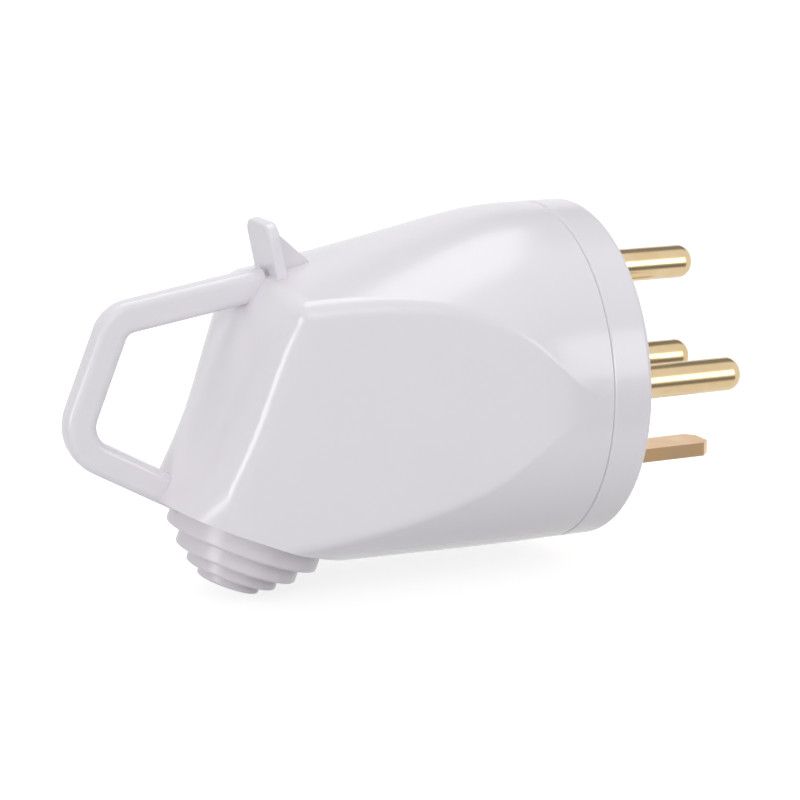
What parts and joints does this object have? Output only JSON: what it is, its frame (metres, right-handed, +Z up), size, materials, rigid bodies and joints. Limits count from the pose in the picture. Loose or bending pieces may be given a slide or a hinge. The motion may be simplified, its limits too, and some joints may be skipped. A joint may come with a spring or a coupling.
{
  "type": "mains power connector",
  "caption": "Mains plug with a tapered pale grey housing, a round face with brass pins and a flat earth blade, a rear finger loop and a stepped cable grommet.",
  "frame": {"origin": "centre of the plug's front face, on the axis of the central pin", "axes": "+X along the pins, towards the socket; +Z up, towards the line pin opposite the earth blade; +Y completes the right-handed frame"},
  "size_m": [0.1343, 0.066, 0.0707],
  "materials": {
    "housing_plastic": "glossy moulded plastic, cool light grey",
    "carrier_plastic": "glossy moulded plastic, cool light grey",
    "grommet_rubber": "smooth flexible grey",
    "pin_brass": "turned and polished",
    "blade_brass": "stamped and polished",
    "retainer_board": "pressed insulating board",
    "clamp_plastic": "matte",
    "screw_steel": "zinc plated",
    "terminal_steel": "zinc plated"
  },
  "bodies": {
    "root": {"housing": "housing_plastic", "pin_carrier": "carrier_plastic", "grommet": "grommet_rubber", "neutral_pin": "pin_brass", "line_pin_1": "pin_brass", "line_pin_2": "pin_brass", "line_pin_3": "pin_brass", "earth_blade": "blade_brass", "pin_retainer": "retainer_board", "cord_clamp_bar": "clamp_plastic", "cover_screw_1": "screw_steel", "cover_screw_2": "screw_steel", "clamp_screw_1": "screw_steel", "clamp_screw_2": "screw_steel", "retainer_screw_1": "screw_steel", "retainer_screw_2": "screw_steel", "terminal_screw_1": "terminal_steel", "terminal_screw_2": "terminal_steel", "terminal_screw_3": "terminal_steel", "terminal_screw_4": "terminal_steel", "terminal_screw_5": "terminal_steel"}
  },
  "joints": []
}
